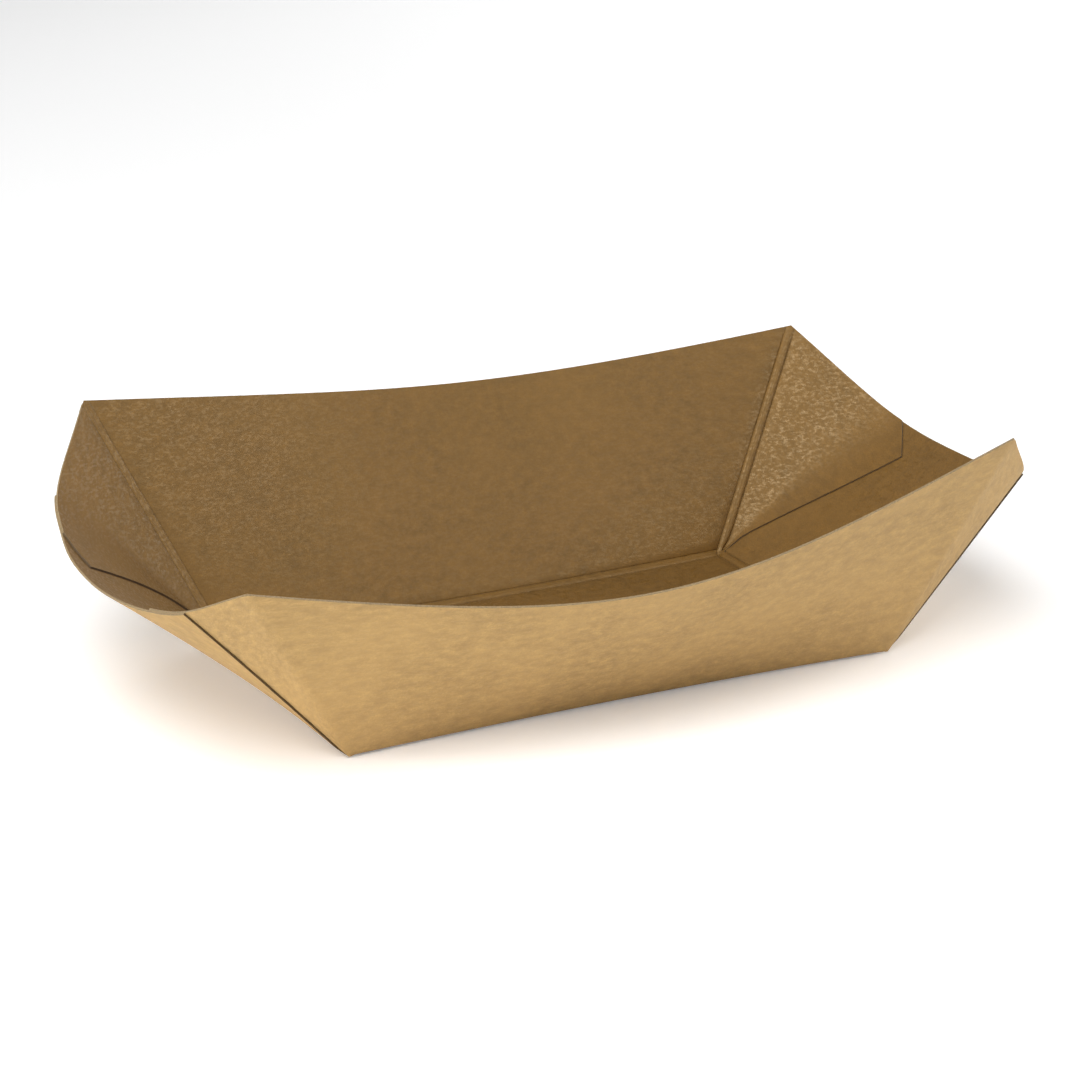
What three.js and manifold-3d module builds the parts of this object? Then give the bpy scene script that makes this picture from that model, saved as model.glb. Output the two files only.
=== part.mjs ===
// A paper food tray folded from one sheet: a flat base, two long walls, two end walls and four
// glue flaps. Millimetres, +Z up, the front wall faces -Y, the underside of the base is on z = 0.

import * as THREE from "three";
import { mergeVertices } from "three/addons/utils/BufferGeometryUtils.js";
import Module from "manifold-3d";

// Base and board
const BASE_LENGTH = 120;
const BASE_WIDTH = 70;
const BASE_BOW = 1.85; // the long edges of the base curve in by this at their middle
const BOARD = 0.42; // thickness of the sheet

// Peaks: where two walls meet at the rim, measured out from the base corner below
const PEAK_OUT_X = 22.6;
const PEAK_OUT_Y = 21.3;
const PEAK_HEIGHT = 47.6;

// The glued tray has sprung a little out of square: each peak's own shift from the even place
const SPRING = {
  frontLeft: { x: 4.8, y: 1.5, z: -3.0 },
  frontRight: { x: -9.0, y: 1.5, z: 2.7 },
  backRight: { x: 6.1, y: -2.8, z: -2.0 },
  backLeft: { x: -2.0, y: -0.4, z: 2.3 },
};

// Rims of the long walls: they swing out and dip between the peaks
const LONG_PULL_ALONG = 0.463; // share of the peak to peak line to each pull point
const LONG_PULL_OUT = 12.3;
const LONG_PULL_DOWN = {
  front: { left: 17.6, right: 14.8 },
  back: { left: 9.0, right: 11.5 },
};

// Rims of the end walls: the shoulder by each flap and the middle, off the peak to peak line
const SHOULDER_ALONG = 0.217;
const END_RIMS = {
  right: {
    back: { out: 15.1, down: 17.0 },
    middle: { out: 17.2, down: 19.2 },
    front: { out: 15.5, down: 15.7 },
  },
  left: {
    back: { out: 13.1, down: 13.5 },
    middle: { out: 13.8, down: 16.5 },
    front: { out: 7.8, down: 11.4 },
  },
};

// Outlines of the end panels and the flaps, as shares of the end wall's width and slope
const PANEL_EDGE_AT_RIM = 0.21; // the panel's side edge leaves the flap bare up to here
const FLAP_TIP_AT_RIM = 0.31;
const FLAP_START = 0.01; // the flap begins with this much of the crease at the base corner
const FLAP_POINT = { across: 0.375, up: 0.88 }; // lower corner of the flap's tip
const FLAP_HEEL = { across: 0.065, up: 0.11 }; // bend of the flap's lower edge by the base

// Lap: the end panel lies behind the flap and steps in to the base crease below it
const LAP_LEAST = 0.02; // depth of that step right at the crease
const LAP_STEP = 0.09; // share of the slope over which the panel steps back

// Creases: each fold is a low round bead on the inner side
const BEAD_HALF_WIDTH = 0.9;
const BEAD_HEIGHT = 0.35;

// Grid steps
const LONG_STEPS = 22;
const BASE_ROWS = 2;
const FLAP_STEPS = 4;
const LAP_STEPS = 4;
const MIDDLE_STEPS = 8;
const LONG_ROWS = [0.3, 0.65, 1];
const END_ROWS = [LAP_STEP / 2, LAP_STEP, FLAP_HEEL.up, 0.36, 0.62, FLAP_POINT.up, 1];
const BEAD_STOPS = [0, 0.4, 0.75, 1]; // shares of the bead's half width
const NORMAL_STEP = 1e-3; // share of the wall used to take its slope
const SAME_POINT = 1e-5; // points nearer than this are one

// Colour of the board
const KRAFT = 0xb48f5c;

const manifold = await Module();
manifold.setup();

const UP = new THREE.Vector3(0, 0, 1);

// A base corner, with x and y as -1 or 1, on the middle of the board's thickness
function baseCorner(x, y) {
  return new THREE.Vector3((x * BASE_LENGTH) / 2, (y * BASE_WIDTH) / 2, BOARD / 2);
}

// The peak above a base corner
function peak(x, y) {
  const spring = SPRING[(y < 0 ? "front" : "back") + (x < 0 ? "Left" : "Right")];
  const out = new THREE.Vector3(
    x * (PEAK_OUT_X + spring.x),
    y * (PEAK_OUT_Y + spring.y),
    PEAK_HEIGHT + spring.z,
  );
  return baseCorner(x, y).add(out);
}

// A point a share of the way from one point to another, then moved out and down
function offLine(from, to, share, outward, out, down) {
  return from.clone().lerp(to, share).addScaledVector(outward, out).addScaledVector(UP, -down);
}

// The rim of a long wall, from left to right
function longRim(side) {
  const outward = new THREE.Vector3(0, side, 0);
  const from = peak(-1, side);
  const to = peak(1, side);
  const down = side < 0 ? LONG_PULL_DOWN.front : LONG_PULL_DOWN.back;
  return new THREE.CubicBezierCurve3(
    from,
    offLine(from, to, LONG_PULL_ALONG, outward, LONG_PULL_OUT, down.left),
    offLine(from, to, 1 - LONG_PULL_ALONG, outward, LONG_PULL_OUT, down.right),
    to,
  );
}

// The rim of an end wall, from the back peak to the front peak
function endRim(side) {
  const outward = new THREE.Vector3(side, 0, 0);
  const from = peak(side, 1);
  const to = peak(side, -1);
  const rim = side < 0 ? END_RIMS.left : END_RIMS.right;
  const points = [
    from,
    offLine(from, to, SHOULDER_ALONG, outward, rim.back.out, rim.back.down),
    offLine(from, to, 1 / 2, outward, rim.middle.out, rim.middle.down),
    offLine(from, to, 1 - SHOULDER_ALONG, outward, rim.front.out, rim.front.down),
    to,
  ];
  return new THREE.CatmullRomCurve3(points, false, "catmullrom", 0.5);
}

// The foot of a long wall: the bowed edge of the base, from left to right
function longFoot(side) {
  const from = baseCorner(-1, side);
  const to = baseCorner(1, side);
  const bow = new THREE.Vector3(0, -2 * side * BASE_BOW, 0);
  const middle = from.clone().lerp(to, 1 / 2).add(bow);
  return new THREE.QuadraticBezierCurve3(from, middle, to);
}

// The foot of an end wall: the straight edge of the base, from back to front
function endFoot(side) {
  return new THREE.LineCurve3(baseCorner(side, 1), baseCorner(side, -1));
}

// A wall is the ruled surface between its foot and its rim. "turn" makes its normal face inwards.
function wallOf(foot, rim, turn) {
  const at = (across, up) => foot.getPoint(across).lerp(rim.getPoint(across), up);
  const normal = (across, up) => {
    const low = Math.max(across - NORMAL_STEP, 0);
    const high = Math.min(across + NORMAL_STEP, 1);
    const along = at(high, up).sub(at(low, up));
    const rise = at(across, 1).sub(at(across, 0));
    return along.cross(rise).multiplyScalar(turn).normalize();
  };
  const off = (across, up, inwards) => {
    return at(across, up).addScaledVector(normal(across, up), inwards);
  };
  const width = (up) => at(0, up).distanceTo(at(1, up));
  const slope = at(1 / 2, 0).distanceTo(at(1 / 2, 1));
  return { off, width, slope };
}

function longWall(side) {
  return wallOf(longFoot(side), longRim(side), side);
}

function endWall(side) {
  return wallOf(endFoot(side), endRim(side), side);
}

// Height of a crease's bead at a distance from the fold
function beadAt(distance) {
  const share = Math.min(distance / BEAD_HALF_WIDTH, 1);
  return BEAD_HEIGHT * Math.sqrt(1 - share * share);
}

// Height of the highest bead at a place in a panel, from its distances to the folds about it
function beadOver(...distances) {
  return Math.max(...distances.map(beadAt));
}

// Shares of a length for a row of stations: close together by a fold at the start
function stopsBy(length) {
  return BEAD_STOPS.map((stop) => (stop * BEAD_HALF_WIDTH) / length);
}

// Shares from 0 to 1 for a panel with a fold at both ends
function stopsBetween(length, steps) {
  const near = stopsBy(length);
  const first = near[near.length - 1];
  const middle = [];
  for (let step = 1; step < steps; step++) {
    middle.push(THREE.MathUtils.lerp(first, 1 - first, step / steps));
  }
  return [...near, ...middle, ...near.map((stop) => 1 - stop).reverse()];
}

// A solid of a closed grid of points
function solidOf(positions, index) {
  const geometry = new THREE.BufferGeometry();
  geometry.setAttribute("position", new THREE.Float32BufferAttribute(positions, 3));
  geometry.setIndex(index);
  const merged = mergeVertices(geometry, SAME_POINT);
  const corners = merged.index.array;
  const kept = [];
  for (let place = 0; place < corners.length; place += 3) {
    const [a, b, c] = corners.slice(place, place + 3);
    if (a !== b && b !== c && c !== a) {
      kept.push(a, b, c);
    }
  }
  const mesh = new manifold.Mesh({
    numProp: 3,
    vertProperties: merged.getAttribute("position").array,
    triVerts: new Uint32Array(kept),
  });
  return new manifold.Manifold(mesh);
}

// A sheet from a grid of stations, each with an outer and an inner point. "facing" is 1 where the
// columns run to the right as seen from outside, with the rows upwards, and -1 otherwise.
function sheet(grid, facing) {
  const high = grid.length;
  const wide = grid[0].length;
  const positions = [];
  for (const face of ["outer", "inner"]) {
    for (const row of grid) {
      row.forEach((station) => positions.push(...station[face].toArray()));
    }
  }
  const at = (face, row, column) => (face * high + row) * wide + column;
  const index = [];
  const addFace = (a, b, c, d) => index.push(a, b, c, a, c, d);
  for (let row = 0; row < high - 1; row++) {
    const top = row + 1;
    const last = wide - 1;
    for (let column = 0; column < last; column++) {
      const next = column + 1;
      addFace(at(0, row, column), at(0, row, next), at(0, top, next), at(0, top, column));
      addFace(at(1, row, column), at(1, top, column), at(1, top, next), at(1, row, next));
    }
    addFace(at(0, row, 0), at(0, top, 0), at(1, top, 0), at(1, row, 0));
    addFace(at(0, row, last), at(1, row, last), at(1, top, last), at(0, top, last));
  }
  for (let column = 0; column < wide - 1; column++) {
    const next = column + 1;
    const last = high - 1;
    addFace(at(0, 0, column), at(1, 0, column), at(1, 0, next), at(0, 0, next));
    addFace(at(0, last, column), at(0, last, next), at(1, last, next), at(1, last, column));
  }
  if (facing < 0) {
    index.reverse();
  }
  return solidOf(positions, index);
}

// The base: flat below, with the half of each bead that belongs to it along its four edges
function basePanel() {
  const front = longFoot(-1);
  const back = longFoot(1);
  const grid = stopsBetween(BASE_WIDTH, BASE_ROWS).map((up) =>
    stopsBetween(BASE_LENGTH, LONG_STEPS).map((across) => {
      const point = front.getPoint(across).lerp(back.getPoint(across), up);
      const distances = [across, 1 - across].map((share) => share * BASE_LENGTH);
      distances.push(...[up, 1 - up].map((share) => share * BASE_WIDTH));
      return {
        outer: point.clone().addScaledVector(UP, -BOARD / 2),
        inner: point.clone().addScaledVector(UP, BOARD / 2 + beadOver(...distances)),
      };
    }),
  );
  return sheet(grid, -1);
}

// The rows of a wall, from its crease to its rim
function wallRows(slope, rows) {
  return [...stopsBy(slope).filter((stop) => stop < rows[0]), ...rows];
}

// A long wall, from corner crease to corner crease
function longPanel(side) {
  const wall = longWall(side);
  const grid = wallRows(wall.slope, LONG_ROWS).map((up) =>
    stopsBetween(wall.width(up), LONG_STEPS).map((across) => {
      const width = wall.width(up);
      const bead = beadOver(across * width, (1 - across) * width, up * wall.slope);
      return {
        outer: wall.off(across, up, -BOARD / 2),
        inner: wall.off(across, up, BOARD / 2 + bead),
      };
    }),
  );
  return sheet(grid, -side);
}

// How far the end panel lies outside the flaps at a row: hardly at its crease, one board above
function lapDepth(up) {
  return THREE.MathUtils.lerp(LAP_LEAST, BOARD, THREE.MathUtils.smoothstep(up, 0, LAP_STEP));
}

// How far a flap reaches across the end wall at a row
function flapReach(up) {
  const stops = [
    { up: 0, across: FLAP_START },
    FLAP_HEEL,
    FLAP_POINT,
    { up: 1, across: FLAP_TIP_AT_RIM },
  ];
  const next = stops.findIndex((stop, place) => place > 0 && up <= stop.up);
  const low = stops[next - 1];
  const high = stops[next];
  return THREE.MathUtils.mapLinear(up, low.up, high.up, low.across, high.across);
}

// Stations across half an end wall at a row, from the corner crease to the middle: the bare flap,
// the flap over the panel, then the panel alone. Two stations at one place make a cut edge.
function halfStations(up, width) {
  const edge = THREE.MathUtils.lerp(FLAP_START / 2, PANEL_EDGE_AT_RIM, up);
  const reach = flapReach(up);
  const depth = lapDepth(up);
  const stations = [];
  const add = (across, outer, inner) => {
    const bead = beadAt(across * width);
    stations.push({ across, outer: outer - BOARD / 2, inner: inner + BOARD / 2 + bead });
  };
  const stops = stopsBy(width).map((stop, place) => {
    return Math.min(stop, (edge * place) / (BEAD_STOPS.length + 1));
  });
  const start = stops[stops.length - 1];
  stops.forEach((stop) => add(stop, 0, 0));
  for (let step = 1; step <= FLAP_STEPS; step++) {
    add(THREE.MathUtils.lerp(start, edge, step / FLAP_STEPS), 0, 0);
  }
  for (let step = 0; step <= LAP_STEPS; step++) {
    add(THREE.MathUtils.lerp(edge, reach, step / LAP_STEPS), -depth, 0);
  }
  for (let step = 0; step <= MIDDLE_STEPS; step++) {
    add(THREE.MathUtils.lerp(reach, 1 / 2, step / MIDDLE_STEPS), -depth, -depth);
  }
  return stations;
}

// An end wall: the end panel with the flaps of both long walls glued to its inner side
function endPanel(side) {
  const wall = endWall(side);
  const grid = wallRows(wall.slope, END_ROWS).map((up) => {
    const half = halfStations(up, wall.width(up));
    const other = half.slice(0, -1).reverse();
    const stations = [...half, ...other.map((one) => ({ ...one, across: 1 - one.across }))];
    const bead = beadAt(up * wall.slope);
    return stations.map(({ across, outer, inner }) => ({
      outer: wall.off(across, up, outer),
      inner: wall.off(across, up, Math.max(inner, BOARD / 2 - lapDepth(up) + bead)),
    }));
  });
  return sheet(grid, -side);
}

// The five panels, joined to one body along the creases
function foldedSheet() {
  const panels = [basePanel()];
  for (const side of [-1, 1]) {
    panels.push(longPanel(side), endPanel(side));
  }
  return manifold.Manifold.union(panels);
}

// The solid as a three.js geometry, with its box centred over the origin
function geometryOf(solid) {
  const mesh = solid.getMesh();
  const geometry = new THREE.BufferGeometry();
  geometry.setAttribute("position", new THREE.BufferAttribute(mesh.vertProperties, 3));
  geometry.setIndex(new THREE.BufferAttribute(mesh.triVerts, 1));
  geometry.computeBoundingBox();
  const middle = geometry.boundingBox.getCenter(new THREE.Vector3());
  geometry.translate(-middle.x, -middle.y, 0);
  geometry.computeVertexNormals();
  return geometry;
}

function kraftBoard() {
  return new THREE.MeshStandardMaterial({ color: KRAFT, roughness: 0.85, metalness: 0 });
}

function foldedTray() {
  const mesh = new THREE.Mesh(geometryOf(foldedSheet()), kraftBoard());
  mesh.name = "folded_tray";
  return mesh;
}

const tray = new THREE.Group();
tray.add(foldedTray());

export default tray;
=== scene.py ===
import math

import bpy
import numpy as np
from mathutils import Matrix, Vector


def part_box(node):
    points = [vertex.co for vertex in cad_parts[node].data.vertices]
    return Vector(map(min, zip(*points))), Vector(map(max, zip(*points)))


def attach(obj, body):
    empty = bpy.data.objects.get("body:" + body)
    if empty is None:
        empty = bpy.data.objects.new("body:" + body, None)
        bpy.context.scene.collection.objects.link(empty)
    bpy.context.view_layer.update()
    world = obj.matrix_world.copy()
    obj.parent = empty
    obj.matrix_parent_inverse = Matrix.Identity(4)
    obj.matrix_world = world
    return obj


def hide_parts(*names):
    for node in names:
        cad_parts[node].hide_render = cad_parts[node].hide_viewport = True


bl_info = {
    "name": "Paper Food Tray",
    "version": (1, 0, 0),
    "blender": (4, 5, 0),
    "location": "3D View > Sidebar > Food Tray",
    "description": "Folds a kraft paper food tray from one sheet and sets it on a plain stage",
    "category": "Add Mesh",
}

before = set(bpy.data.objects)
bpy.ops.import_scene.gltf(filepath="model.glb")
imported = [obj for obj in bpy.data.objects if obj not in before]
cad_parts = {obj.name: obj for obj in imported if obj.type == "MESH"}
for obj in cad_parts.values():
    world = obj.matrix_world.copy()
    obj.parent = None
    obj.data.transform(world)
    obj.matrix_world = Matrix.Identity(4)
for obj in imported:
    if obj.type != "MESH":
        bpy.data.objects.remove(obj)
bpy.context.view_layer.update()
TRAY_BOX = [np.array(corner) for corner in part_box("folded_tray")]

MM = 0.001

# The piece's own maps: its place on the flat sheet, and the grooves beside its folds, where the
# finish paints shade
SHEET_UV = "flat_sheet"
GROOVE_SHADE_MARK = "fold_groove_shade"

# Where the middle of the base lies, so that the whole tray is centred over the origin
BASE_MIDDLE = (-1.5555 * MM, 1.5362 * MM)

# Peaks: where two walls meet at the rim, measured out and up from the base corner below, and
# each peak's own shift, because the tray stands a little out of square
PEAK_OUT = (22.6 * MM, 21.3 * MM, 47.6 * MM)
SPRING = {
    (-1, -1): (4.8 * MM, 1.5 * MM, -3.0 * MM),
    (1, -1): (-9.0 * MM, 1.5 * MM, 2.7 * MM),
    (1, 1): (6.1 * MM, -2.8 * MM, -2.0 * MM),
    (-1, 1): (-2.0 * MM, -0.4 * MM, 2.3 * MM),
}

# Rims of the long walls: share along, how far out, and how far down at the left and right pull
LONG_PULL_ALONG = 0.463
LONG_PULL_OUT = 12.3 * MM
LONG_PULL_DOWN = {-1: (17.6 * MM, 14.8 * MM), 1: (9.0 * MM, 11.5 * MM)}

# Rims of the end walls: out and down at the back shoulder, the middle and the front shoulder
SHOULDER_ALONG = 0.217
END_RIMS = {
    1: ((15.1 * MM, 17.0 * MM), (17.2 * MM, 19.2 * MM), (15.5 * MM, 15.7 * MM)),
    -1: ((13.1 * MM, 13.5 * MM), (13.8 * MM, 16.5 * MM), (7.8 * MM, 11.4 * MM)),
}

# Each end wall fans out from the base corners as far as the panel's side edges, and is ruled
# from the short edge of the base between them. Where those edges lie, as shares of the rim
PANEL_EDGES = {(-1, 1): 0.206, (-1, -1): 0.194, (1, 1): 0.222, (1, -1): 0.232}

# How far an end wall bulges into the tray at its middle
END_HOLLOW = {-1: 0.35 * MM, 1: 0.0}

# A soft dent in the left rim: share along the rim, half width as a share, and depth
DENT_ALONG = 0.3
DENT_WIDTH = 0.075
RIM_DENTS = {-1: 0.8 * MM, 1: 0.0}

# Free outlines of the flaps, from the base to the rim: share of the slope, share of the rim
FLAP_OUTLINES = {
    (-1, -1): ((0.0, 0.2), (0.13, 0.206), (0.875, 0.385), (1.0, 0.31)),
    (1, -1): ((0.0, 0.238), (0.13, 0.244), (0.875, 0.385), (1.0, 0.3)),
    (1, 1): ((0.0, 0.227), (0.13, 0.231), (0.85, 0.376), (1.0, 0.293)),
    (-1, 1): ((0.0, 0.207), (0.2, 0.213), (0.36, 0.25), (0.906, 0.394), (1.0, 0.316)),
}

# Rows of the walls that meet the flaps' outer corners, and how near another row may come
CORNER_ROWS = (0.85, 0.875, 0.906)
ROW_GAP = 0.01

# How far the end panel lies outside the flaps at its fold, and the share of the slope over
# which it steps out by a whole board. The flaps stand in a little, for the glue
LAP_LEAST = 0.02 * MM
LAP_STEP = 0.09
FLAP_GAP = 0.03 * MM
FLAP_GAP_COLUMNS = 3

# Height of the bead along each corner fold, as a share, and where it fades out below the rim
BEAD_HEIGHTS = {(-1, 1): 0.45, (1, 1): 1.0, (-1, -1): 1.0, (1, -1): 1.0}
BEAD_FADE_FROM = 0.96

# A fold seen across it: the bead's steps as shares of the fold's half angle, then the groove
# beside it, then the end of the rounding
BEAD_SHARES = (1.0, 0.8, 0.6, 0.4, 0.22)
GROOVE_AT = 1.06 * MM
GROOVE_DEPTH = 0.2 * MM
GROOVE_STEP = len(BEAD_SHARES)
FOLD_REACH = 1.45 * MM
FOLD_STEPS = GROOVE_STEP + 1

# The most of a wall's row that the rounding of a fold may take, near the base corner
MOST_FOLD_SHARE = 0.15

# Small shares: the step for slopes along a wall, the lowest row, and where the rim begins
NEAR = 1e-3
LOWEST_ROW = 1e-4
RIM_FROM = 0.999

# Grid steps of the sheet
LONG_COLUMNS = 60
BASE_ROWS = 26
WALL_ROWS = 22
END_ROWS = 24
FLAP_COLUMNS = 14


class TraySheetSettings(bpy.types.PropertyGroup):
    """Sizes and colours of the folded sheet"""

    base_length: bpy.props.FloatProperty(
        name="Base Length",
        description="Length of the flat base between its corners",
        default=120 * MM,
        subtype="DISTANCE",
        unit="LENGTH",
    )
    base_width: bpy.props.FloatProperty(
        name="Base Width",
        description="Width of the flat base between its corners",
        default=70 * MM,
        subtype="DISTANCE",
        unit="LENGTH",
    )
    base_bow: bpy.props.FloatProperty(
        name="Base Bow",
        description="How far the long edges of the base curve in at their middle",
        default=1.85 * MM,
        subtype="DISTANCE",
        unit="LENGTH",
    )
    board: bpy.props.FloatProperty(
        name="Board",
        description="Thickness of the sheet",
        default=0.42 * MM,
        subtype="DISTANCE",
        unit="LENGTH",
    )
    bead_side: bpy.props.FloatProperty(
        name="Bead Side",
        description="Half width of the bead inside each fold",
        default=1.02 * MM,
        subtype="DISTANCE",
        unit="LENGTH",
    )
    bead_top: bpy.props.FloatProperty(
        name="Bead Top",
        description="Height of the bead above the middle of the board",
        default=0.7 * MM,
        subtype="DISTANCE",
        unit="LENGTH",
    )
    outside_colour: bpy.props.FloatVectorProperty(
        name="Outside Colour",
        description="Kraft of the outer side",
        default=(0.507, 0.322, 0.12, 1.0),
        size=4,
        min=0.0,
        max=1.0,
        subtype="COLOR",
    )
    inside_colour: bpy.props.FloatVectorProperty(
        name="Inside Colour",
        description="Kraft of the coated inner side",
        default=(0.149, 0.072, 0.0115, 1.0),
        size=4,
        min=0.0,
        max=1.0,
        subtype="COLOR",
    )
    edge_colour: bpy.props.FloatVectorProperty(
        name="Edge Colour",
        description="Core of the board at the rim",
        default=(0.24, 0.168, 0.08, 1.0),
        size=4,
        min=0.0,
        max=1.0,
        subtype="COLOR",
    )
    # The cut edges get the board's core colour darkened further by painted shade: the shadow in
    # the seam where a flap's or panel's cut edge lies on the sheet
    cut_edge_shade_colour: bpy.props.FloatVectorProperty(
        name="Cut Colour",
        description="Darkened cut edges of the flaps and end panels",
        default=(0.095, 0.056, 0.02, 1.0),
        size=4,
        min=0.0,
        max=1.0,
        subtype="COLOR",
    )


class StageSettings(bpy.types.PropertyGroup):
    """Floor, lamps and camera"""

    floor_colour: bpy.props.FloatVectorProperty(
        name="Floor Colour",
        description="Plain pale floor",
        default=(0.92, 0.92, 0.92, 1.0),
        size=4,
        min=0.0,
        max=1.0,
        subtype="COLOR",
    )
    floor_size: bpy.props.FloatProperty(
        name="Floor Size",
        description="Side of the square floor",
        default=6.0,
        subtype="DISTANCE",
        unit="LENGTH",
    )


# Walls of the tray

def unit(vector):
    return vector / np.linalg.norm(vector)


def base_corner(sheet, x, y):
    """A base corner, with x and y as -1 or 1, on the middle of the board."""
    return np.array([
        BASE_MIDDLE[0] + x * sheet.base_length / 2,
        BASE_MIDDLE[1] + y * sheet.base_width / 2,
        sheet.board / 2,
    ])


def peak(sheet, x, y):
    out = np.array([x, y, 1.0]) * (np.array(PEAK_OUT) + np.array(SPRING[(x, y)]))
    return base_corner(sheet, x, y) + out


def off_line(start, end, share, outward, out, down):
    point = start + (end - start) * share + outward * out
    return point - np.array([0.0, 0.0, down])


def long_rim(sheet, side):
    """The rim of a long wall, from left to right."""
    outward = np.array([0.0, side, 0.0])
    start, end = peak(sheet, -1, side), peak(sheet, 1, side)
    left, right = LONG_PULL_DOWN[side]
    pull_left = off_line(start, end, LONG_PULL_ALONG, outward, LONG_PULL_OUT, left)
    pull_right = off_line(start, end, 1 - LONG_PULL_ALONG, outward, LONG_PULL_OUT, right)

    def at(t):
        s = 1 - t
        return s**3 * start + 3 * s * s * t * pull_left + 3 * s * t * t * pull_right + t**3 * end

    return at


def end_rim(sheet, side):
    """The rim of an end wall, from the back peak to the front peak, through five points."""
    outward = np.array([side, 0.0, 0.0])
    start, end = peak(sheet, side, 1), peak(sheet, side, -1)
    shares = (SHOULDER_ALONG, 0.5, 1 - SHOULDER_ALONG)
    inner = [
        off_line(start, end, share, outward, out, down)
        for share, (out, down) in zip(shares, END_RIMS[side])
    ]
    points = [start, *inner, end]
    points = [2 * points[0] - points[1], *points, 2 * points[-1] - points[-2]]

    def at(t):
        place = min(int(t * 4), 3)
        w = t * 4 - place
        a, b, c, d = points[place:place + 4]
        low, high = (c - a) / 2, (d - b) / 2
        point = (2 * b - 2 * c + low + high) * w**3 + low * w + b
        point = point + (-3 * b + 3 * c - 2 * low - high) * w**2
        dent = math.exp(-(((t - DENT_ALONG) / DENT_WIDTH) ** 2))
        return point - outward * RIM_DENTS[side] * dent

    return at


def long_foot(sheet, side):
    """The bowed long edge of the base, from left to right."""
    start, end = base_corner(sheet, -1, side), base_corner(sheet, 1, side)
    middle = (start + end) / 2 - np.array([0.0, 2 * side * sheet.base_bow, 0.0])

    def at(t):
        return (1 - t) ** 2 * start + 2 * t * (1 - t) * middle + t * t * end

    return at


def end_foot(sheet, side):
    """The straight short edge of the base, from back to front. It stays at the base corners as
    far as the panel's side edges, so that the wall fans out from there."""
    start, end = base_corner(sheet, side, 1), base_corner(sheet, side, -1)
    low, high = PANEL_EDGES[side, 1], 1 - PANEL_EDGES[side, -1]

    def at(t):
        return start + (end - start) * max(0.0, min(1.0, (t - low) / (high - low)))

    return at


class Wall:
    """The ruled surface between a foot and a rim. Its normal faces into the tray."""

    def __init__(self, foot, rim, turn, hollow=0.0):
        self.foot, self.rim, self.turn, self.hollow = foot, rim, turn, hollow
        self.slope = np.linalg.norm(rim(0.5) - foot(0.5))

    def at(self, across, up):
        foot = self.foot(across)
        return foot + (self.rim(across) - foot) * up

    def along(self, across, up):
        low, high = max(across - NEAR, 0.0), min(across + NEAR, 1.0)
        return self.at(high, up) - self.at(low, up)

    def rise(self, across):
        return self.rim(across) - self.foot(across)

    def normal(self, across, up):
        return self.turn * unit(np.cross(self.along(across, up), self.rise(across)))

    def off(self, across, up, height):
        """A point at a height off the wall. The wall's own bulge is fullest at its middle."""
        bend = 16 * across * (1 - across) * up * (1 - up)
        return self.at(across, up) + self.normal(across, up) * (height + self.hollow * bend)

    def width(self, up):
        return np.linalg.norm(self.at(1.0, up) - self.at(0.0, up))

    def rate(self, start, up):
        """Length of the row per unit share, at its start."""
        near = NEAR if start == 0.0 else 1 - NEAR
        return np.linalg.norm(self.at(near, up) - self.at(start, up)) / NEAR


class Base:
    """The flat base between its two bowed long edges, from left to right and front to back."""

    def __init__(self, sheet):
        self.front, self.back = long_foot(sheet, -1), long_foot(sheet, 1)
        self.length, self.width = sheet.base_length, sheet.base_width

    def off(self, across, up, height):
        front = self.front(across)
        point = front + (self.back(across) - front) * up
        return point + np.array([0.0, 0.0, height])


# Folds

class Fold:
    """One place along a fold. Its two sides are functions of the distance from the fold and the
    height over the middle of the board, and "raised" is the height of its bead, as a share."""

    def __init__(self, sheet, corner, fold_line, first, second, raised=1.0):
        self.sheet, self.corner, self.raised = sheet, corner, raised
        line = unit(fold_line)
        self.sides = (first, second)
        toward = []
        for side in self.sides:
            step = side(FOLD_REACH, 0.0) - corner
            toward.append(unit(step - line * step.dot(line)))
        self.middle = unit(toward[0] + toward[1])
        self.half_angle = math.acos(max(-1.0, min(1.0, toward[0].dot(toward[1])))) / 2

    def outer(self, which, step):
        """The outer face, rounded over the fold."""
        half = self.sheet.board / 2
        start = self.sides[which](FOLD_REACH, -half)
        end = self.sides[1 - which](FOLD_REACH, -half)
        tip = self.corner - self.middle * half / math.sin(self.half_angle)
        t = 0.5 * (1 - step / FOLD_STEPS)
        return (1 - t) ** 2 * start + 2 * t * (1 - t) * tip + t * t * end

    def inner(self, which, step):
        """The inner face: a bead over the fold, then a narrow groove beside it."""
        plain = self.sheet.board / 2
        if step == 0:
            low = plain / math.sin(self.half_angle)
            return self.corner + self.middle * (low + (self.sheet.bead_top - low) * self.raised)
        distance, height = bead_profile(self.sheet, self.half_angle, step)
        return self.sides[which](distance, plain + (height - plain) * self.raised)


def bead_profile(sheet, half_angle, step):
    """Distance from the fold and height over the middle of the board, for one step."""
    if step < len(BEAD_SHARES):
        share = BEAD_SHARES[step]
        radius = sheet.bead_side + (sheet.bead_top - sheet.bead_side) * share
        angle = half_angle * share
        return radius * math.cos(angle), radius * math.sin(angle)
    if step < FOLD_STEPS:
        return GROOVE_AT, sheet.board / 2 - GROOVE_DEPTH
    return FOLD_REACH, sheet.board / 2


def skew(wall, across, up):
    """Sine of the angle between a wall's rows and its rulings."""
    return np.linalg.norm(np.cross(unit(wall.along(across, up)), unit(wall.rise(across))))


def fold_share(wall, start, up):
    """Share of a wall's row that the rounding of its corner fold takes."""
    up = max(up, LOWEST_ROW)
    return min(FOLD_REACH / (skew(wall, start, up) * wall.rate(start, up)), MOST_FOLD_SHARE)


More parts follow.
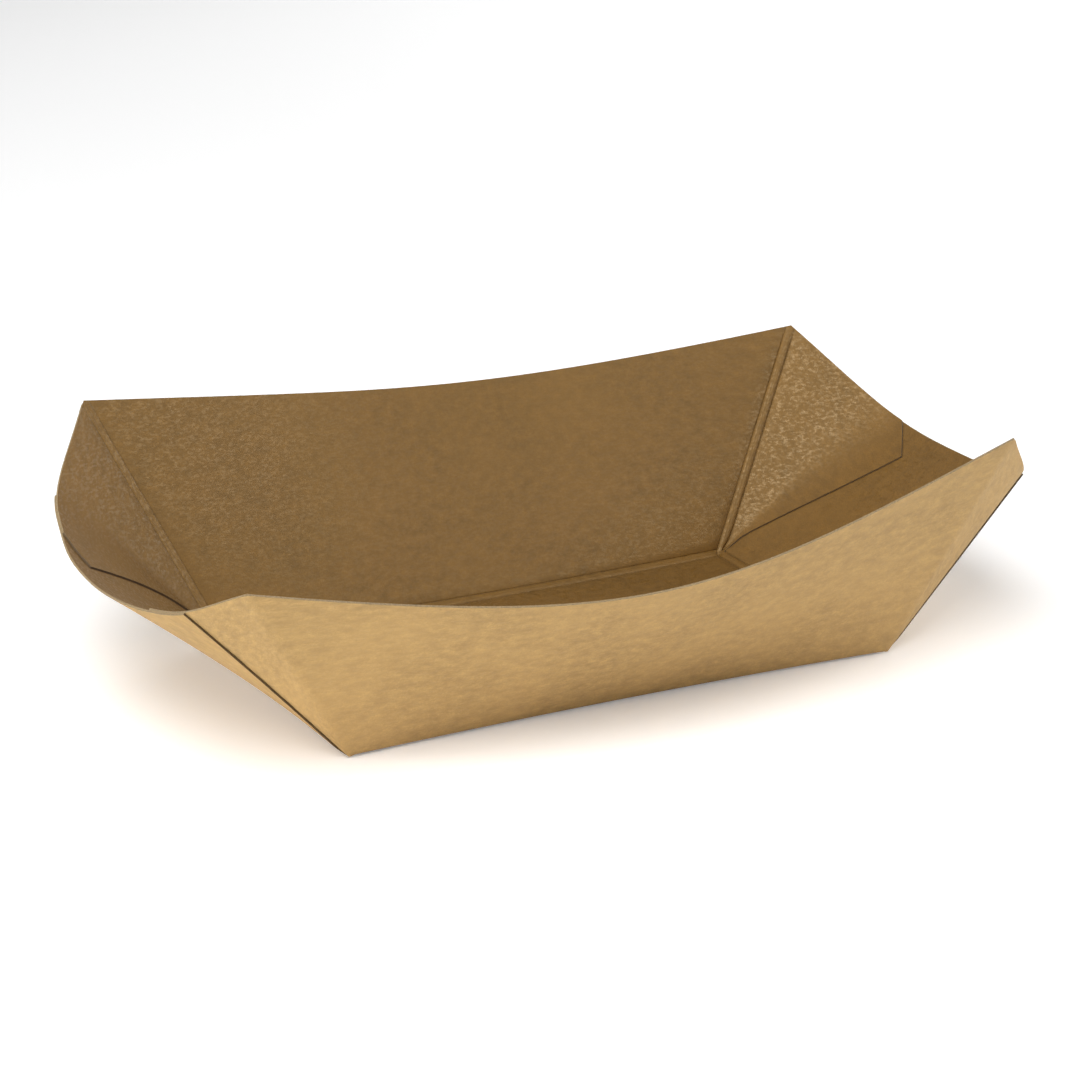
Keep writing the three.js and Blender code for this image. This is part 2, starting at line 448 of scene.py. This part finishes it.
def corner_fold(sheet, tray, x, y, up):
    """The slanted fold between a long wall and its flap, at one height."""
    long_wall, end_wall = tray["long", y], tray["end", x]
    long_start = 0.0 if x < 0 else 1.0
    end_start = 0.0 if y > 0 else 1.0
    sides = []
    for wall, start in ((long_wall, long_start), (end_wall, end_start)):
        turn = 1 if start == 0.0 else -1
        scale = fold_share(wall, start, up) / FOLD_REACH

        def side(distance, height, wall=wall, start=start, turn=turn, scale=scale):
            return wall.off(start + turn * distance * scale, up, height)

        sides.append(side)
    fade = smooth((up - BEAD_FADE_FROM) / (1 - BEAD_FADE_FROM))
    raised = BEAD_HEIGHTS[x, y] * (1 - fade)
    return Fold(sheet, long_wall.at(long_start, up), long_wall.rise(long_start), *sides, raised)


def foot_fold(sheet, tray, y, across):
    """The fold between the base and a long wall."""
    base, wall = tray["base"], tray["long", y]
    scale = 1 / (skew(wall, across, 0.0) * np.linalg.norm(wall.rise(across)))
    edge = 0.0 if y < 0 else 1.0

    def base_side(distance, height):
        return base.off(across, edge - y * distance / base.width, height)

    def wall_side(distance, height):
        return wall.off(across, distance * scale, height)

    return Fold(sheet, wall.foot(across), wall.along(across, 0.0), base_side, wall_side)


def end_fold(sheet, tray, x, across):
    """The fold between the base and an end panel. "across" runs from back to front."""
    base, wall = tray["base"], tray["end", x]
    place = panel_place(x, across)
    scale = 1 / np.linalg.norm(wall.rise(place))
    edge = 0.0 if x < 0 else 1.0

    def base_side(distance, height):
        return base.off(edge - x * distance / base.length, 1 - across, height)

    def wall_side(distance, height):
        up = distance * scale
        return wall.off(place, up, height - lap_depth(sheet, up))

    line = base_corner(sheet, x, 1) - base_corner(sheet, x, -1)
    return Fold(sheet, wall.foot(place), line, base_side, wall_side)


# Outlines of flaps and end panels

def smooth(value):
    value = max(0.0, min(1.0, value))
    return value * value * (3 - 2 * value)


def lap_depth(sheet, up):
    """How far the end panel lies outside the flaps: hardly at its fold, one board above."""
    return LAP_LEAST + (sheet.board - LAP_LEAST) * smooth(up / LAP_STEP)


def flap_reach(x, y, up):
    """Share of the end wall's row that a flap covers."""
    return float(np.interp(up, *zip(*FLAP_OUTLINES[x, y])))


def panel_place(x, share):
    """Share of the end wall's rim over a share of the short edge of the base."""
    low, high = PANEL_EDGES[x, 1], 1 - PANEL_EDGES[x, -1]
    return low + (high - low) * share


# The blank: panels as grids of stations

def steps_between(count, low, high):
    return [low + (high - low) * step / count for step in range(1, count)]


class Station:
    """One point of the blank: its outer and inner place, its place on the flat sheet, and
    whether it lies on the rim or in the groove of a fold, which gets painted shade."""

    def __init__(self, outer, inner, flat, rim=False, groove=False):
        self.outer, self.inner = np.clip(outer, *TRAY_BOX), np.clip(inner, *TRAY_BOX)
        self.flat, self.rim, self.groove = flat, rim, groove


def tray_walls(sheet):
    tray = {"base": Base(sheet)}
    for side in (-1, 1):
        tray["long", side] = Wall(long_foot(sheet, side), long_rim(sheet, side), side)
        hollow = END_HOLLOW[side]
        tray["end", side] = Wall(end_foot(sheet, side), end_rim(sheet, side), side, hollow)
    return tray


def columns_of(length):
    """Columns across the base or a long wall: (fold step or None, side, share)."""
    reach = FOLD_REACH / length
    left = [(step, -1, reach * step / FOLD_STEPS) for step in range(FOLD_STEPS + 1)]
    middle = [(None, 0, share) for share in steps_between(LONG_COLUMNS, reach, 1 - reach)]
    right = [(step, 1, 1 - share) for step, _, share in reversed(left)]
    return left + middle + right


def wall_ups(wall):
    """Rows of a wall over its fold rows, as shares of its slope. The rows at the flaps' corners
    take the place of the ones that lie too near them."""
    reach = FOLD_REACH / wall.slope
    even = [reach + (1 - reach) * step / WALL_ROWS for step in range(WALL_ROWS + 1)]
    kept = [up for up in even if min(abs(up - corner) for corner in CORNER_ROWS) > ROW_GAP]
    return sorted(kept + list(CORNER_ROWS))


def long_station(sheet, tray, y, column, up, foot_step):
    """A station of a long wall. foot_step counts its row in the base fold, or is None above."""
    wall = tray["long", y]
    step, x, _ = column
    half = sheet.board / 2
    length = wall.width(up)
    if step is None:
        left, right = fold_share(wall, 0.0, up), fold_share(wall, 1.0, up)
        low = FOLD_REACH / sheet.base_length
        share = (column[2] - low) / (1 - 2 * low)
        across = left + (1 - left - right) * share
        if foot_step is None:
            outer, inner = wall.off(across, up, -half), wall.off(across, up, half)
        else:
            fold = foot_fold(sheet, tray, y, across)
            outer, inner = fold.outer(1, foot_step), fold.inner(1, foot_step)
    else:
        fold = corner_fold(sheet, tray, x, y, up)
        outer, inner = fold.outer(0, step), fold.inner(0, step)
        across = column[2]
        if foot_step is not None and step > 0:
            base_fold = foot_fold(sheet, tray, y, across)
            flat = wall.off(across, up, -half)
            outer = outer + (base_fold.outer(1, foot_step) - flat) * step / FOLD_STEPS
            flat = wall.off(across, up, half)
            inner = inner + (base_fold.inner(1, foot_step) - flat) * step / FOLD_STEPS
    slope = np.linalg.norm(wall.rise(across))
    flat = ((across - 0.5) * length, y * (sheet.base_width / 2 + up * slope))
    return Station(outer, inner, flat, up > RIM_FROM, GROOVE_STEP in (step, foot_step))


def base_station(sheet, tray, column, row):
    """A station of the base. row is (fold step or None, side, share from front to back)."""
    base = tray["base"]
    step, x, across = column
    row_step, y, up = row
    half = sheet.board / 2
    if row_step is not None:
        fold = foot_fold(sheet, tray, y, across)
        outer, inner = fold.outer(0, row_step), fold.inner(0, row_step)
        if step is not None and row_step > 0:
            end = end_fold(sheet, tray, x, 1 - up)
            share = step / FOLD_STEPS
            outer = end.outer(0, step) + (outer - base.off(across, up, -half)) * share
            inner = end.inner(0, step) + (inner - base.off(across, up, half)) * share
    elif step is not None:
        end = end_fold(sheet, tray, x, 1 - up)
        outer, inner = end.outer(0, step), end.inner(0, step)
    else:
        outer, inner = base.off(across, up, -half), base.off(across, up, half)
    flat = ((across - 0.5) * sheet.base_length, (up - 0.5) * sheet.base_width)
    return Station(outer, inner, flat, False, GROOVE_STEP in (step, row_step))


def base_rows(sheet):
    reach = FOLD_REACH / sheet.base_width
    front = [(step, -1, reach * step / FOLD_STEPS) for step in range(FOLD_STEPS + 1)]
    middle = [(None, 0, share) for share in steps_between(BASE_ROWS, reach, 1 - reach)]
    back = [(step, 1, 1 - share) for step, _, share in reversed(front)]
    return front + middle + back


def fold_ups(wall):
    """Rows of a wall inside its base fold, from the first off the fold line."""
    reach = FOLD_REACH / wall.slope
    return [(step, reach * step / FOLD_STEPS) for step in range(1, FOLD_STEPS)]


def spine_grid(sheet, tray):
    """Base and long walls in one grid, from the front rim over the base to the back rim."""
    columns = columns_of(sheet.base_length)
    grid = []
    halves = {}
    for y in (-1, 1):
        wall = tray["long", y]
        rows = fold_ups(wall) + [(None, up) for up in wall_ups(wall)]
        halves[y] = [
            [long_station(sheet, tray, y, column, up, step) for column in columns]
            for step, up in rows
        ]
    grid.extend(reversed(halves[-1]))
    for row in base_rows(sheet):
        grid.append([base_station(sheet, tray, column, row) for column in columns])
    grid.extend(halves[1])
    return grid


def flap_grid(sheet, tray, x, y):
    """A flap, from its corner fold to its free outline."""
    wall, long_wall = tray["end", x], tray["long", y]
    half = sheet.board / 2
    start, turn = (0.0, 1) if y > 0 else (1.0, -1)
    grid = []
    for up in [up for _, up in fold_ups(long_wall)] + wall_ups(long_wall):
        fold = corner_fold(sheet, tray, x, y, up)
        width = wall.width(up)
        reach = flap_reach(x, y, up)
        first = fold_share(wall, start, up)
        row = []
        for step in range(FOLD_STEPS + 1):
            row.append((fold.outer(1, step), fold.inner(1, step), first * step / FOLD_STEPS))
        for step in range(1, FLAP_COLUMNS + 1):
            share = first + (reach - first) * step / FLAP_COLUMNS
            across = start + turn * share
            gap = FLAP_GAP * smooth(step / FLAP_GAP_COLUMNS)
            outer = wall.off(across, up, gap - half)
            inner = wall.off(across, up, gap + half)
            row.append((outer, inner, share))
        long_width = long_wall.width(up)
        side_up = np.linalg.norm(long_wall.rise(0.0 if x < 0 else 1.0)) * up
        v = y * (sheet.base_width / 2 + side_up)
        flats = [(x * (long_width / 2 + share * width), v) for _, _, share in row]
        grid.append([
            Station(outer, inner, flat, up > RIM_FROM, step == GROOVE_STEP)
            for step, ((outer, inner, _), flat) in enumerate(zip(row, flats))
        ])
    return grid


def end_grid(sheet, tray, x):
    """An end panel, from its base fold to its rim."""
    wall = tray["end", x]
    half = sheet.board / 2
    rows = base_rows(sheet)[1:-1]
    reach = FOLD_REACH / wall.slope
    ups = [(step, reach * step / FOLD_STEPS) for step in range(FOLD_STEPS)]
    ups += [(None, reach + (1 - reach) * step / END_ROWS) for step in range(END_ROWS + 1)]
    grid = []
    for step, up in ups:
        depth = lap_depth(sheet, up)
        row = []
        for _, _, share in rows:
            across = panel_place(x, 1 - share)
            if step is None:
                outer = wall.off(across, up, -depth - half)
                inner = wall.off(across, up, -depth + half)
            else:
                fold = end_fold(sheet, tray, x, 1 - share)
                outer, inner = fold.outer(1, step), fold.inner(1, step)
            slope = np.linalg.norm(wall.rise(across))
            flat = (x * (sheet.base_length / 2 + up * slope), (0.5 - across) * wall.width(up))
            row.append(Station(outer, inner, flat, up > RIM_FROM, step == GROOVE_STEP))
        grid.append(row)
    return grid


# Mesh work

INSIDE_TRAY = Vector((0.0, 0.0, 30 * MM))
MERGE_WITHIN = 1e-6
SMOOTH_ANGLE = math.radians(38)
OUTSIDE, INSIDE, RIM_EDGE, CUT_EDGE = range(4)


def deselect_all():
    if bpy.context.object and bpy.context.object.mode != "OBJECT":
        bpy.ops.object.mode_set(mode="OBJECT")
    bpy.ops.object.select_all(action="DESELECT")


def activate(piece):
    deselect_all()
    piece.select_set(True)
    bpy.context.view_layer.objects.active = piece


def add_panel(name, grid, marked):
    """A grid primitive laid over the stations. Each vertex remembers its station."""
    deselect_all()
    rows, columns = len(grid), len(grid[0])
    bpy.ops.mesh.primitive_grid_add(x_subdivisions=columns - 1, y_subdivisions=rows - 1)
    panel = bpy.context.object
    panel.name = name
    mesh = panel.data
    stations = [station for row in grid for station in row]
    mesh.vertices.foreach_set("co", np.array([s.outer for s in stations]).ravel())
    first = len(marked)
    marked.extend(stations)
    mark = mesh.attributes.new("station", "INT", "POINT")
    mark.data.foreach_set("value", np.arange(first, first + len(stations)))
    layer = mesh.uv_layers[0] if mesh.uv_layers else mesh.uv_layers.new()
    layer.name = SHEET_UV
    corners = np.zeros(len(mesh.loops), int)
    mesh.loops.foreach_get("vertex_index", corners)
    flats = np.array([s.flat for s in stations])[corners]
    layer.data.foreach_set("uv", flats.ravel())
    mesh.update()
    return panel


def turn_faces_in(panel, toward):
    """Turns a panel's faces to a point inside the tray, because they are extruded that way."""
    mesh = panel.data
    face = max(mesh.polygons, key=lambda one: one.area)
    if face.normal.dot(face.center - toward) > 0:
        activate(panel)
        bpy.ops.object.mode_set(mode="EDIT")
        bpy.ops.mesh.select_all(action="SELECT")
        bpy.ops.mesh.flip_normals()
        bpy.ops.object.mode_set(mode="OBJECT")


def folded_sheet(sheet):
    tray = tray_walls(sheet)
    marked = []
    panels = [add_panel("spine", spine_grid(sheet, tray), marked)]
    for x in (-1, 1):
        panels.append(add_panel("end_panel", end_grid(sheet, tray, x), marked))
        for y in (-1, 1):
            panels.append(add_panel("flap", flap_grid(sheet, tray, x, y), marked))
    for panel in panels:
        turn_faces_in(panel, INSIDE_TRAY)
    deselect_all()
    for panel in panels:
        panel.select_set(True)
    bpy.context.view_layer.objects.active = panels[0]
    bpy.ops.object.join()
    piece = bpy.context.object
    piece.name = "tray_sheet"
    piece.data.name = "tray_sheet"
    bpy.ops.object.mode_set(mode="EDIT")
    bpy.ops.mesh.select_all(action="SELECT")
    bpy.ops.mesh.remove_doubles(threshold=MERGE_WITHIN)
    bpy.ops.mesh.select_all(action="SELECT")
    bpy.ops.mesh.extrude_region()
    bpy.ops.object.mode_set(mode="OBJECT")
    place_inner_side(piece, marked)
    return piece


def place_inner_side(piece, marked):
    """Puts the extruded side of the sheet on its inner places and tells the faces apart: outer
    side, inner side, rim edge and the cut edges of flaps and end panels."""
    mesh = piece.data
    count = len(mesh.vertices)
    places = np.zeros(count * 3)
    mesh.vertices.foreach_get("co", places)
    places = places.reshape(-1, 3)
    marks = np.zeros(count, int)
    mesh.attributes["station"].data.foreach_get("value", marks)
    raised = np.zeros(count, bool)
    mesh.vertices.foreach_get("select", raised)
    places[raised] = np.array([station.inner for station in marked])[marks[raised]]
    rim = np.array([station.rim for station in marked])[marks]
    mesh.vertices.foreach_set("co", places.ravel())
    # Mark of the fold grooves, which the finish darkens as painted shade
    grooves = np.array([station.groove for station in marked])[marks] & raised
    shade = mesh.attributes.new(GROOVE_SHADE_MARK, "FLOAT", "POINT")
    shade.data.foreach_set("value", grooves.astype(float))
    mesh.update()
    mesh.attributes.remove(mesh.attributes["station"])
    side = np.full(len(mesh.polygons), OUTSIDE)
    for face in mesh.polygons:
        up = [raised[vertex] for vertex in face.vertices]
        if all(up):
            side[face.index] = INSIDE
        elif any(up):
            on_rim = all(rim[vertex] for vertex in face.vertices)
            side[face.index] = RIM_EDGE if on_rim else CUT_EDGE
    mesh.polygons.foreach_set("material_index", side)


# Finishes

# Grain of the board, in cells a metre along and across the sheet
BROAD_CLOUDS = 42.0
CLOUDS = 330.0
CLOUD_STRETCH = (1.0, 1.35, 1.0)
FIBRES = (1100.0, 2500.0, 1.0)
CROSS_FIBRES = (2500.0, 1200.0, 1.0)
CROSS_TURN = 0.6
SPECKS = (1300.0, 2300.0, 1.0)

# Flecks of the coat, in cells a metre along, across and up the tray
COAT_FLECKS = (900.0, 900.0, 2100.0)

# Layers in a cut edge, in cells a metre
EDGE_LAYERS = 2600.0

# Bumps: strength and depth
FIBRE_BUMP = (0.25, 0.08 * MM)
CLOUD_BUMP = (0.3, 0.2 * MM)
EDGE_BUMP = (0.4, 0.1 * MM)
FLECK_DEPTH = 0.3 * MM

# The two sides: how much the grain changes the colour, roughness between and on the flecks,
# how far the flecks stand up, and the tint of the gloss
OUTER_SIDE = (0.2, (0.85, 0.7), 0.1, (1.0, 1.0, 1.0, 1.0))
INNER_SIDE = (0.22, (0.7, 0.43), 0.06, (1.0, 0.82, 0.53, 1.0))


class Nodes:
    """Adds nodes to a material and links them in one line each."""

    def __init__(self, name):
        self.material = bpy.data.materials.new(name)
        self.material.use_nodes = True
        self.tree = self.material.node_tree
        self.tree.nodes.clear()
        self.out = self.tree.nodes.new("ShaderNodeOutputMaterial")

    def add(self, kind, **settings):
        node = self.tree.nodes.new(kind)
        for name, value in settings.items():
            setattr(node, name, value)
        return node

    def feed(self, socket, value):
        if isinstance(value, bpy.types.NodeSocket):
            self.tree.links.new(value, socket)
        else:
            socket.default_value = value

    def noise(self, vector, scale, detail=2.0, roughness=0.5, distortion=0.0):
        node = self.add("ShaderNodeTexNoise")
        self.feed(node.inputs["Vector"], vector)
        node.inputs["Scale"].default_value = scale
        node.inputs["Detail"].default_value = detail
        node.inputs["Roughness"].default_value = roughness
        node.inputs["Distortion"].default_value = distortion
        return node.outputs["Fac"]

    def stretched(self, vector, scale, turn=0.0):
        node = self.add("ShaderNodeMapping")
        self.feed(node.inputs["Vector"], vector)
        node.inputs["Scale"].default_value = scale
        node.inputs["Rotation"].default_value = (0.0, 0.0, turn)
        return node.outputs["Vector"]

    def ramp(self, value, low, high, low_to=0.0, high_to=1.0):
        node = self.add("ShaderNodeMapRange", clamp=True)
        self.feed(node.inputs["Value"], value)
        for name, number in zip(
            ("From Min", "From Max", "To Min", "To Max"), (low, high, low_to, high_to)
        ):
            node.inputs[name].default_value = number
        return node.outputs["Result"]

    def maths(self, operation, first, second=0.0):
        node = self.add("ShaderNodeMath", operation=operation)
        self.feed(node.inputs[0], first)
        self.feed(node.inputs[1], second)
        return node.outputs[0]

    def mix(self, factor, first, second):
        node = self.add("ShaderNodeMix", data_type="RGBA")
        self.feed(node.inputs[0], factor)
        self.feed(node.inputs[6], first)
        self.feed(node.inputs[7], second)
        return node.outputs[2]

    def bump(self, height, strength, distance, normal=None):
        node = self.add("ShaderNodeBump")
        self.feed(node.inputs["Height"], height)
        node.inputs["Strength"].default_value = strength
        node.inputs["Distance"].default_value = distance
        if normal is not None:
            self.feed(node.inputs["Normal"], normal)
        return node.outputs["Normal"]


def scaled(colour, factor):
    return (*(channel * factor for channel in colour[:3]), 1.0)


def kraft_finish(name, colour, grain, rough, flecked, gloss_tint):
    """Kraft board: cloudy pulp, short crossed fibres, dark specks, painted shade in the fold
    grooves and the flecks of its coat.
    """
    nodes = Nodes(name)
    place = nodes.add("ShaderNodeUVMap", uv_map=SHEET_UV).outputs["UV"]
    broad = nodes.noise(place, BROAD_CLOUDS, 2.0)
    cloud = nodes.noise(nodes.stretched(place, CLOUD_STRETCH), CLOUDS, 5.0, 0.62)
    fibres = nodes.noise(nodes.stretched(place, FIBRES), 1.0, 3.0, 0.6, 1.0)
    cross = nodes.noise(nodes.stretched(place, CROSS_FIBRES, CROSS_TURN), 1.0, 3.0, 0.6, 1.0)
    mesh = nodes.maths("ADD", fibres, cross)
    specks = nodes.noise(nodes.stretched(place, SPECKS), 1.0, 2.0, 0.5)
    groove = nodes.add("ShaderNodeAttribute", attribute_name=GROOVE_SHADE_MARK).outputs["Fac"]

    dark, light = scaled(colour, 1 - grain), scaled(colour, 1 + grain)
    between_fibres = scaled(colour, 1 - 1.6 * grain)
    tone = nodes.mix(nodes.ramp(cloud, 0.32, 0.68), dark, light)
    tone = nodes.mix(nodes.ramp(mesh, 0.8, 1.2, 0.0, 0.45), tone, between_fibres)
    tone = nodes.mix(nodes.ramp(broad, 0.35, 0.65, 0.0, 0.4), tone, light)
    tone = nodes.mix(nodes.ramp(specks, 0.7, 0.78, 0.0, 0.4), tone, scaled(colour, 0.55))
    # Painted shade: the grooves beside the folds are darkened toward a third of the colour
    tone = nodes.mix(nodes.ramp(groove, 0.2, 1.0, 0.0, 0.42), tone, scaled(colour, 0.35))

    shader = nodes.add("ShaderNodeBsdfPrincipled")
    nodes.feed(shader.inputs["Base Color"], tone)
    shader.inputs["Specular Tint"].default_value = gloss_tint
    room = nodes.add("ShaderNodeTexCoord").outputs["Object"]
    flecks = nodes.noise(nodes.stretched(room, COAT_FLECKS), 1.0, 3.0, 0.6, 0.2)
    nodes.feed(shader.inputs["Roughness"], nodes.ramp(flecks, 0.46, 0.64, *rough))
    normal = nodes.bump(mesh, *FIBRE_BUMP)
    normal = nodes.bump(flecks, flecked, FLECK_DEPTH, normal)
    normal = nodes.bump(cloud, *CLOUD_BUMP, normal)
    nodes.feed(shader.inputs["Normal"], normal)
    nodes.feed(nodes.out.inputs["Surface"], shader.outputs["BSDF"])
    return nodes.material


def edge_finish(name, colour):
    """The cut edge of the board, layered along its thickness."""
    nodes = Nodes(name)
    place = nodes.add("ShaderNodeTexCoord").outputs["Object"]
    layers = nodes.noise(place, EDGE_LAYERS, 3.0, 0.6)
    tone = nodes.mix(nodes.ramp(layers, 0.35, 0.65), scaled(colour, 0.8), scaled(colour, 1.25))
    shader = nodes.add("ShaderNodeBsdfPrincipled")
    nodes.feed(shader.inputs["Base Color"], tone)
    nodes.feed(shader.inputs["Roughness"], nodes.ramp(layers, 0.3, 0.7, 0.8, 0.95))
    nodes.feed(shader.inputs["Normal"], nodes.bump(layers, *EDGE_BUMP))
    nodes.feed(nodes.out.inputs["Surface"], shader.outputs["BSDF"])
    return nodes.material


class TRAY_OT_folded_sheet(bpy.types.Operator):
    """Add the folded sheet of kraft board"""

    bl_idname = "tray.folded_sheet"
    bl_label = "Folded Sheet"

    def execute(self, context):
        sheet = context.scene.tray_sheet_settings
        piece = folded_sheet(sheet)
        for finish in (
            kraft_finish("kraft_outside", sheet.outside_colour, *OUTER_SIDE),
            kraft_finish("kraft_inside", sheet.inside_colour, *INNER_SIDE),
            edge_finish("rim_edge", sheet.edge_colour),
            # Cut edges: board core with the seam's shadow painted in
            edge_finish("cut_edge_shade", sheet.cut_edge_shade_colour),
        ):
            piece.data.materials.append(finish)
        activate(piece)
        bpy.ops.object.shade_smooth_by_angle(angle=SMOOTH_ANGLE)
        deselect_all()
        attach(piece, "root")
        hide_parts("folded_tray")
        return {"FINISHED"}


# Stage

# The photo's view: place, turn in degrees, focal length and sensor width in millimetres
CAMERA_PLACE = (-253.431 * MM, -513.895 * MM, 219.369 * MM)
CAMERA_TURN = (71.1575, 0.5842, -26.0314)
CAMERA_LENS = 98.0647
SENSOR_WIDTH = 36.0
SEEN_FROM, SEEN_TO = 0.01, 50.0

# Soft round lamps: turn about the tray in degrees from the front, height in degrees, power
LAMPS = {
    "high_lamp": (-38.0, 53.0, 15.5),
    "left_lamp": (-97.0, 12.0, 8.9),
    "front_left_lamp": (-30.0, 13.0, 2.3),
    "right_lamp": (90.0, 15.0, 7.3),
    "back_right_lamp": (135.0, 25.0, 4.0),
}
LAMP_DISTANCE = 1.3
LAMP_SIZE = 0.8

# Reflector cards that show only in the gloss of the coat, placed as the lamps are
CARDS = {
    "right_card": (49.0, 26.0, 13.0),
    "high_card": (-55.0, 56.0, 9.0),
    "far_card": (-118.0, 62.0, 8.0),
}

# Light of the surroundings on the tray, and what the camera sees of them
ROOM_LIGHT = 0.15
ROOM_SEEN = 1.0

# The floor lies just under the tray, and glows a little for the camera alone
FLOOR_DROP = 0.2 * MM
FLOOR_GLOW = 0.2


def add_lamp(name, turn, height, power):
    """A round lamp that faces the middle of the tray's base."""
    turn, height = math.radians(turn), math.radians(height)
    level = math.cos(height)
    away = Vector((math.sin(turn) * level, -math.cos(turn) * level, math.sin(height)))
    bpy.ops.object.light_add(type="AREA", location=away * LAMP_DISTANCE)
    lamp = bpy.context.object
    lamp.name = name
    lamp.data.shape = "DISK"
    lamp.data.size = LAMP_SIZE
    lamp.data.energy = power
    lamp.rotation_euler = (-away).to_track_quat("-Z", "Y").to_euler()
    return lamp


def add_floor(stage):
    bpy.ops.mesh.primitive_plane_add(size=stage.floor_size, location=(0, 0, -FLOOR_DROP))
    floor = bpy.context.object
    floor.name = "floor"
    nodes = Nodes("pale_floor")
    shader = nodes.add("ShaderNodeBsdfDiffuse")
    nodes.feed(shader.inputs["Color"], tuple(stage.floor_colour))
    seen = nodes.add("ShaderNodeLightPath").outputs["Is Camera Ray"]
    glow = nodes.add("ShaderNodeEmission")
    nodes.feed(glow.inputs["Strength"], nodes.maths("MULTIPLY", seen, FLOOR_GLOW))
    both = nodes.add("ShaderNodeAddShader")
    nodes.feed(both.inputs[0], shader.outputs[0])
    nodes.feed(both.inputs[1], glow.outputs[0])
    nodes.feed(nodes.out.inputs["Surface"], both.outputs[0])
    floor.data.materials.append(nodes.material)


def add_room():
    """Pale surroundings: faint light on the tray, plain white for the camera."""
    world = bpy.data.worlds.new("pale_room")
    bpy.context.scene.world = world
    world.use_nodes = True
    tree = world.node_tree
    tree.nodes.clear()
    path = tree.nodes.new("ShaderNodeLightPath")
    level = tree.nodes.new("ShaderNodeMapRange")
    level.inputs["To Min"].default_value = ROOM_LIGHT
    level.inputs["To Max"].default_value = ROOM_SEEN
    back = tree.nodes.new("ShaderNodeBackground")
    back.inputs["Color"].default_value = (1, 1, 1, 1)
    out = tree.nodes.new("ShaderNodeOutputWorld")
    tree.links.new(path.outputs["Is Camera Ray"], level.inputs["Value"])
    tree.links.new(level.outputs["Result"], back.inputs["Strength"])
    tree.links.new(back.outputs["Background"], out.inputs["Surface"])


def add_camera():
    bpy.ops.object.camera_add(location=CAMERA_PLACE)
    camera = bpy.context.object
    camera.name = "camera"
    camera.rotation_euler = [math.radians(angle) for angle in CAMERA_TURN]
    camera.data.sensor_width = SENSOR_WIDTH
    camera.data.lens = CAMERA_LENS
    camera.data.clip_start = SEEN_FROM
    camera.data.clip_end = SEEN_TO
    bpy.context.scene.camera = camera


class TRAY_OT_stage(bpy.types.Operator):
    """Add the floor, the soft lamps, the pale surroundings and the camera"""

    bl_idname = "tray.stage"
    bl_label = "Stage"

    def execute(self, context):
        deselect_all()
        add_floor(context.scene.tray_stage_settings)
        add_room()
        for name, place in LAMPS.items():
            add_lamp(name, *place)
        for name, place in CARDS.items():
            add_lamp(name, *place).visible_diffuse = False
        add_camera()
        context.scene.view_settings.view_transform = "Standard"
        return {"FINISHED"}


class TRAY_PT_food_tray(bpy.types.Panel):
    """Paper food tray"""

    bl_idname = "TRAY_PT_food_tray"
    bl_label = "Paper Food Tray"
    bl_space_type = "VIEW_3D"
    bl_region_type = "UI"
    bl_category = "Food Tray"

    def draw(self, context):
        layout = self.layout
        for settings in (context.scene.tray_sheet_settings, context.scene.tray_stage_settings):
            for name in settings.__annotations__:
                layout.prop(settings, name)
        layout.operator("tray.folded_sheet")
        layout.operator("tray.stage")


CLASSES = (
    TraySheetSettings,
    StageSettings,
    TRAY_OT_folded_sheet,
    TRAY_OT_stage,
    TRAY_PT_food_tray,
)


def register():
    for one in CLASSES:
        bpy.utils.register_class(one)
    bpy.types.Scene.tray_sheet_settings = bpy.props.PointerProperty(type=TraySheetSettings)
    bpy.types.Scene.tray_stage_settings = bpy.props.PointerProperty(type=StageSettings)


def unregister():
    del bpy.types.Scene.tray_stage_settings
    del bpy.types.Scene.tray_sheet_settings
    for one in reversed(CLASSES):
        bpy.utils.unregister_class(one)


def main():
    register()
    bpy.ops.tray.folded_sheet()
    bpy.ops.tray.stage()


if __name__ == "__main__":
    main()
